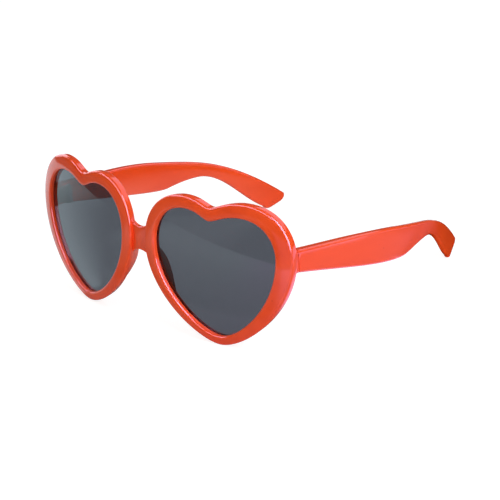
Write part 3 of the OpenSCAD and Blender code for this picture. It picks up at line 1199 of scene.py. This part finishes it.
@dataclass
class Hinge:
    """The steel pieces of one hinge: both leaves with their knuckles, and the screw."""

    path: TemplePath
    side: Side
    edge_r: float = 0.12
    edge_angle: float = 35
    flat_angle: float = 2
    sharp_angle: float = 30
    weld: float = 0.002
    leaf_l: float = 9.0
    skin_t: float = 0.2

    def sink(self, leaf: Object) -> None:
        """Cuts the temple leaf's inner face back where it lies under a skin of plastic.

        Args:
            leaf: the temple's leaf with its knuckle.
        """
        path = self.path
        skin = path.leaf_block(path.leaf_open, self.leaf_l + path.cut_over, self.skin_t, path.cut_over)
        combine(leaf, on_side(skin, self.side), Change.CUT)

    def piece(self, part: str, body: str, finish: Material) -> Object:
        """A copy of one hinge node with its edges broken, as tumbling leaves them.

        Args:
            part: the node's name.
            body: the body that it rides on.
            finish: the plated steel.

        Returns:
            The dressed piece.
        """
        pick(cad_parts[part])
        bpy.ops.object.duplicate(linked=False)
        piece = added(f"{part}_steel")
        edit(piece)
        bpy.ops.mesh.select_all(action="SELECT")
        bpy.ops.mesh.remove_doubles(threshold=self.weld * MM)
        bpy.ops.mesh.dissolve_limited(angle_limit=math.radians(self.flat_angle))
        leave()
        if part.startswith("temple_hinge"):
            self.sink(piece)
        bevel = piece.modifiers.new("broken edges", "BEVEL")
        bevel.width = self.edge_r * MM
        bevel.segments = 2
        bevel.limit_method = "ANGLE"
        bevel.angle_limit = math.radians(self.edge_angle)
        apply_all(piece)
        dress(piece, piece.name, finish, self.sharp_angle)
        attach(piece, body)
        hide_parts(part)
        return piece

    def build(self, finish: Material) -> list[Object]:
        """Makes the hinge's three pieces.

        Args:
            finish: the plated steel.

        Returns:
            The pieces.
        """
        word = self.side.word
        return [self.piece(f"front_hinge_{word}", "front", finish),
                self.piece(f"hinge_screw_{word}", "front", finish),
                self.piece(f"temple_hinge_{word}", f"{word}_temple", finish)]


# Studio


def towards(azimuth: float, elevation: float) -> Vector:
    """The way out to an azimuth, 0 in front and 90 at the wearer's left, and an elevation."""
    a, e = math.radians(azimuth), math.radians(elevation)
    return Vector((math.sin(a) * math.cos(e), -math.cos(a) * math.cos(e), math.sin(e)))


class Share(Enum):
    """What a lamp is seen in: all, only mirrors as a window far off is, or only the plain colours."""

    WHOLE = "whole"
    SHEEN = "sheen"
    BODY = "body"


@dataclass(frozen=True)
class Lamp:
    """A soft panel that faces the glasses, given by its angles, distance, size and watts.

    It is aimed at a point behind the bridge.
    """

    name: str
    azimuth: float
    elevation: float
    distance: float
    size: Point
    power: float
    colour: str = "#FFFFFF"
    share: Share = Share.WHOLE
    aim: tuple[float, float, float] = (0, -0.03, 0.03)

    def build(self) -> None:
        """Adds the lamp."""
        back = towards(self.azimuth, self.elevation)
        bpy.ops.object.light_add(type="AREA", location=back * self.distance + Vector(self.aim))
        lamp = added(self.name)
        lamp.rotation_mode = "QUATERNION"
        lamp.rotation_quaternion = back.to_track_quat("Z", "Y")
        lamp.data.shape = "RECTANGLE"
        lamp.data.size, lamp.data.size_y = self.size
        lamp.data.energy = self.power
        lamp.data.color = linear(self.colour)[:3]
        lamp.visible_camera = False
        lamp.visible_diffuse = self.share is not Share.SHEEN
        lamp.visible_glossy = self.share is not Share.BODY


class WhiteTable:
    """A table top of matt white laminate.

    It gives the eye a plain white ground with the glasses' soft shadow. In its place mirrors see a glow of
    painted light and shade: painted reflections of the lamps, of the glasses' shadow and of the room.
    Its lighter and darker parts are formulas of x and y: a ramp has its start and stop in metres and the
    level before and after.
    """

    size: float = 6
    paper: tuple[float, ...] = (0.86, 0.9, 0.76, 1)
    page: tuple[float, ...] = (0.35, 0.35, 0.35, 1)
    page_lift: float = 0.84
    # Colours of the painted reflections: cool on the left and in front, purple on the right
    cool: str = "#DDF3FA"
    warm: str = "#EAC8FF"
    warm_side: Formula = ("SMOOTHSTEP", "x", 0, 0.06, 0, 1)
    # Painted reflection of lit table, brighter towards the table's front edge
    ahead: Formula = ("ADD", ("MULTIPLY", ("LINEAR", "y", -0.082, -0.2, 0.05, 0.8),
                              ("SMOOTHSTEP", "x", -0.15, -0.1, 0, 1)),
                      ("SMOOTHSTEP", "y", -0.096, -0.086, 0, 0.25))
    # Painted reflection of light, brighter the further to the left of the far lens, in line with the front
    slant: Formula = ("DIVIDE", ("SUBTRACT", -0.073, "y"), ("MAXIMUM", ("SUBTRACT", -0.039, "x"), 0.004))
    aside: Formula = ("MULTIPLY", ("SMOOTHSTEP", slant, -0.05, 0.75, 1, 0.22),
                      ("SMOOTHSTEP", "x", -0.05, -0.042, 1, 0))
    # Painted shadow of the front between the temples, and painted light far to the left
    unshaded: Formula = ("MAXIMUM", ("SMOOTHSTEP", "y", -0.062, -0.05, 1, 0),
                         ("SMOOTHSTEP", "x", -0.1, -0.08, 1, 0))
    left: Formula = ("ADD", ("MULTIPLY", ("MAXIMUM", ahead, aside), unshaded),
                     ("SMOOTHSTEP", "x", -0.26, -0.18, 0.45, 0))
    # Painted pools of light: bright under the near temple, less so beside it, and bright again far to the
    # right
    pool: Formula = ("MULTIPLY", ("MULTIPLY", ("SMOOTHSTEP", "x", 0.054, 0.064, 0, 2.2),
                                  ("SMOOTHSTEP", "x", 0.088, 0.105, 1, 0)),
                     ("SMOOTHSTEP", "y", 0.046, 0.054, 1, 0))
    beside: Formula = ("MULTIPLY", ("SMOOTHSTEP", "x", 0.09, 0.105, 0, 0.32),
                       ("SMOOTHSTEP", "y", 0.085, 0.115, 1, 0.15))
    lit: Formula = ("ADD", ("ADD", pool, beside), ("SMOOTHSTEP", "x", 0.172, 0.186, 0, 2))
    # Painted shade, deepening backwards between the temples
    between: Formula = ("MULTIPLY", ("SMOOTHSTEP", "y", 0.02, 0.09, 0.95, 0.1),
                        ("SMOOTHSTEP", "x", 0.02, 0.04, 1, 0))
    behind: Formula = ("MULTIPLY", ("MULTIPLY", ("MAXIMUM", lit, between),
                                    ("SMOOTHSTEP", "y", -0.06, -0.02, 0, 1)),
                       ("SMOOTHSTEP", "x", -0.1, -0.08, 0, 1))
    # Painted light, bright in front of the near rim's outer corner
    corner: Formula = ("MULTIPLY", ("SMOOTHSTEP", "x", 0.06, 0.085, 0, 0.9),
                       ("SMOOTHSTEP", "y", -0.1, -0.07, 1, 0.3))
    # All the painted light and shade that mirrors see on the table
    level: Formula = ("ADD", ("ADD", left, behind), corner)
    # Painted reflections of the table's front edge, as the far lens and the near lens mirror it, and of the
    # dim room past it
    far_edge: Formula = ("SMOOTHSTEP", ("ADD", "y", ("MULTIPLY", "x", 0.235)), -0.232, -0.228, 0, 1)
    near_edge: Formula = ("SMOOTHSTEP", ("ADD", "y", ("MULTIPLY", "x", -0.352)), -0.231, -0.227, 0, 1)
    near_part: Formula = ("SMOOTHSTEP", "x", -0.16, -0.157, 0, 1)
    room: Formula = ("ADD", ("MULTIPLY", ("SMOOTHSTEP", "x", -0.06, 0.01, 0.45, 0.07),
                             ("SMOOTHSTEP", "x", -0.16, -0.13, 0.45, 1)),
                     ("SMOOTHSTEP", "x", 0.04, 0.08, 0, 0.5))

    def material(self) -> Material:
        """Makes the laminate with its painted reflections.

        Returns:
            The material.
        """
        material, tree = blank("white laminate")
        path = node(tree, "ShaderNodeLightPath").outputs
        place = node(tree, "ShaderNodeTexCoord").outputs["Object"]
        axes = node(tree, "ShaderNodeSeparateXYZ", inputs={"Vector": place}).outputs
        forms = (self.level, self.room, self.far_edge, self.near_edge, self.near_part, self.warm_side)
        level, room, far, near, part, side = (
            formula(tree, form, {"x": axes["X"], "y": axes["Y"]}) for form in forms)
        inside = node(tree, "ShaderNodeMix", {"data_type": "FLOAT"}, {"Factor": part, "A": far, "B": near})
        mirror = node(tree, "ShaderNodeMix", {"data_type": "FLOAT"},
                      {"Factor": inside.outputs["Result"], "A": room, "B": level})
        cast = node(tree, "ShaderNodeMix", {"data_type": "RGBA"},
                    {"Factor": side, "A": linear(self.cool), "B": linear(self.warm)})
        # The painted reflections: painted light and shade that only mirrors see
        glow = node(tree, "ShaderNodeEmission",
                    inputs={"Color": cast.outputs["Result"], "Strength": mirror.outputs["Result"]})
        paper = node(tree, "ShaderNodeBsdfDiffuse", inputs={"Color": self.paper})
        page = node(tree, "ShaderNodeBsdfDiffuse", inputs={"Color": self.page})
        lift = node(tree, "ShaderNodeEmission", inputs={"Strength": self.page_lift})
        white = node(tree, "ShaderNodeAddShader", inputs={0: page.outputs[0], 1: lift.outputs[0]})
        # The eye sees the lifted page, mirrors see the painted reflections, and the glasses are lit by the
        # paper
        seen = formula(tree, ("MAXIMUM", path["Is Camera Ray"], path["Is Transmission Ray"]))
        shown = node(tree, "ShaderNodeMixShader", inputs={0: seen, 1: paper.outputs[0], 2: white.outputs[0]})
        mirrors = formula(tree, ("MULTIPLY", path["Is Glossy Ray"],
                                 ("SUBTRACT", 1, path["Is Transmission Ray"])))
        whole = node(tree, "ShaderNodeMixShader",
                     inputs={0: mirrors, 1: shown.outputs[0], 2: glow.outputs[0]})
        node(tree, "ShaderNodeOutputMaterial", inputs={"Surface": whole.outputs[0]})
        return material

    def build(self) -> None:
        """Adds the table top to the stage."""
        deselect()
        bpy.ops.mesh.primitive_plane_add(size=self.size, location=(0, 0, 0))
        floor = added("floor")
        floor.data.materials.append(self.material())


@dataclass
class Studio:
    """The camera at the photograph's place, a white table, even room light and soft lamps."""

    azimuth: float = 43.83
    elevation: float = 21.252
    roll: float = -2.677
    focal_px: float = 1671.74
    image_px: float = 500
    sensor_mm: float = 36
    distance_mm: float = 698.968
    target_mm: tuple[float, float, float] = (27.164, -34.874, 28.155)
    clip: Point = (0.02, 20)
    room_light: float = 0.43
    room_mirrored: float = 0.1
    room_seen: float = 1.25
    lamps: tuple[Lamp, ...] = (
        Lamp("softbox", 80, 36, 0.9, (0.4, 0.8), 4.85),
        Lamp("fill", -60, 14, 1.2, (1.0, 0.7), 2.2, "#E8FFC4", Share.BODY),
        Lamp("window", 64, 31, 0.9, (0.5, 1.0), 24, "#FFC2F0", Share.SHEEN),
        Lamp("skylight", -24, 44, 1.1, (1.8, 0.5), 22, "#FFD2F2", Share.SHEEN),
        Lamp("far window", -104, 16, 1.1, (0.9, 0.6), 5, "#FFE6F4", Share.SHEEN),
        Lamp("back window", 176, 42, 1.1, (1.2, 0.5), 3.2, "#FFD8F4", Share.SHEEN),
        Lamp("ceiling", 60, 84, 1.3, (0.9, 0.9), 3.0, share=Share.BODY))

    def camera(self) -> None:
        """Places the camera."""
        a, r = math.radians(self.azimuth), math.radians(self.roll)
        back = towards(self.azimuth, self.elevation)
        right = Vector((math.cos(a), math.sin(a), 0))
        up = back.cross(right)
        across = right * math.cos(r) + up * math.sin(r)
        over = up * math.cos(r) - right * math.sin(r)
        bpy.ops.object.camera_add()
        camera = added("camera")
        place = Matrix.Translation((Vector(self.target_mm) + back * self.distance_mm) * MM)
        camera.matrix_world = place @ Matrix((across, over, back)).transposed().to_4x4()
        camera.data.sensor_width = self.sensor_mm
        camera.data.lens = self.focal_px * self.sensor_mm / self.image_px
        camera.data.clip_start, camera.data.clip_end = self.clip
        bpy.context.scene.camera = camera

    def room(self) -> None:
        """Fills the room with even light, white to the eye and dim in mirrors."""
        world = bpy.data.worlds.new("room")
        world.use_nodes = True
        tree = world.node_tree
        tree.nodes.clear()
        path = node(tree, "ShaderNodeLightPath").outputs
        seen = formula(tree, ("MAXIMUM", path["Is Camera Ray"], path["Is Transmission Ray"]))
        strength = self.room_light
        for share, level in ((path["Is Glossy Ray"], self.room_mirrored), (seen, self.room_seen)):
            strength = node(tree, "ShaderNodeMix", {"data_type": "FLOAT"},
                            {"Factor": share, "A": strength, "B": level}).outputs["Result"]
        back = node(tree, "ShaderNodeBackground", inputs={"Strength": strength})
        node(tree, "ShaderNodeOutputWorld", inputs={"Surface": back.outputs[0]})
        bpy.context.scene.world = world

    def build(self) -> None:
        """Sets up the camera, the table, the room and the lamps."""
        self.camera()
        WhiteTable().build()
        self.room()
        for lamp in self.lamps:
            lamp.build()
        bpy.context.scene.view_settings.view_transform = "Standard"


@dataclass
class Sunglasses:
    """The whole pair."""

    face: FaceSurface = field(default_factory=FaceSurface)
    heart: HeartShape = field(default_factory=HeartShape)
    path: TemplePath = field(default_factory=TemplePath)

    def build(self) -> None:
        """Builds every piece and reports it."""
        red, smoke, steel = MouldedRed().build(), SmokeLens().build(), NickelSteel().build()
        pieces = [Front(self.face, self.heart, self.path).build(red)]
        for side in Side:
            pieces.append(Lens(self.face, self.heart, side).build(smoke))
            pieces.append(Temple(self.path, side).build(red))
            pieces += Hinge(self.path, side).build(steel)
        for piece in pieces:
            LOG.info("%s: %d faces", piece.name, len(piece.data.polygons))


def main() -> None:
    """Builds the sunglasses and the studio."""
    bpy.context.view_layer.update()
    Sunglasses().build()
    Studio().build()


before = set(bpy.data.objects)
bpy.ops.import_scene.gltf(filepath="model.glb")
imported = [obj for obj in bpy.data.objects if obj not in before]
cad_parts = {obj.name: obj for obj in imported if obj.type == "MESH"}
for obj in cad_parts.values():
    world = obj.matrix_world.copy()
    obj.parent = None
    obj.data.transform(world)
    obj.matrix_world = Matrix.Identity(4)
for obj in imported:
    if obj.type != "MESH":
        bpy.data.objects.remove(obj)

if __name__ == "__main__":
    logging.basicConfig(level=logging.INFO, format="%(message)s")
    main()
